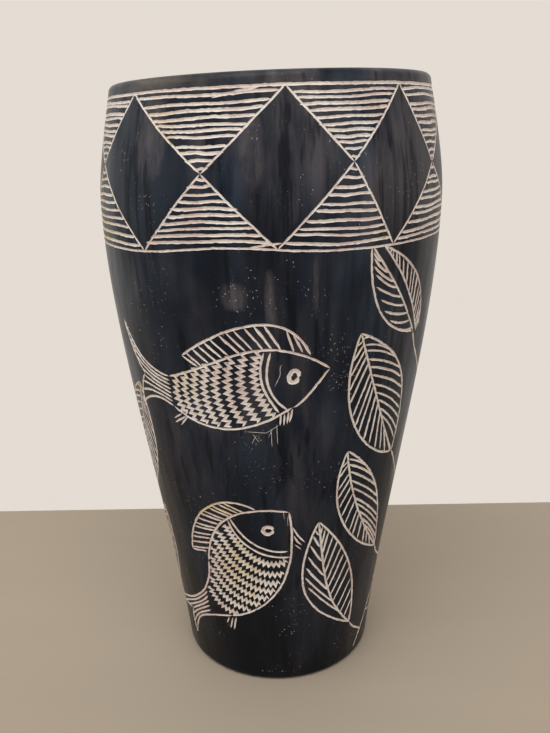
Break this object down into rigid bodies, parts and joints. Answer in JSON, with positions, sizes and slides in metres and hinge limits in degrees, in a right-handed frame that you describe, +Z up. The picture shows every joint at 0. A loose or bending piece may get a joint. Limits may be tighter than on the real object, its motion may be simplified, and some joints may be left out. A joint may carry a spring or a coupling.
{
  "type": "carved soapstone vase",
  "caption": "Tall carved stone vase, narrow at the foot and swelling below the rim, dyed black with incised diamonds, fish and leafy vines.",
  "frame": {"origin": "middle of the vase's foot, on the surface it stands on", "axes": "+Z up through the mouth, -Y towards the side with the fish seen in the picture, +X to that side's right"},
  "size_m": [0.138, 0.138, 0.2514],
  "materials": {
    "dyed_soapstone": "polished satin black dye, rubbed thin in cloudy streaks",
    "raw_soapstone": "matt cream and pink stone, bare where the lines are cut through the dye"
  },
  "bodies": {
    "root": {"vase_body": "dyed_soapstone"}
  },
  "joints": []
}
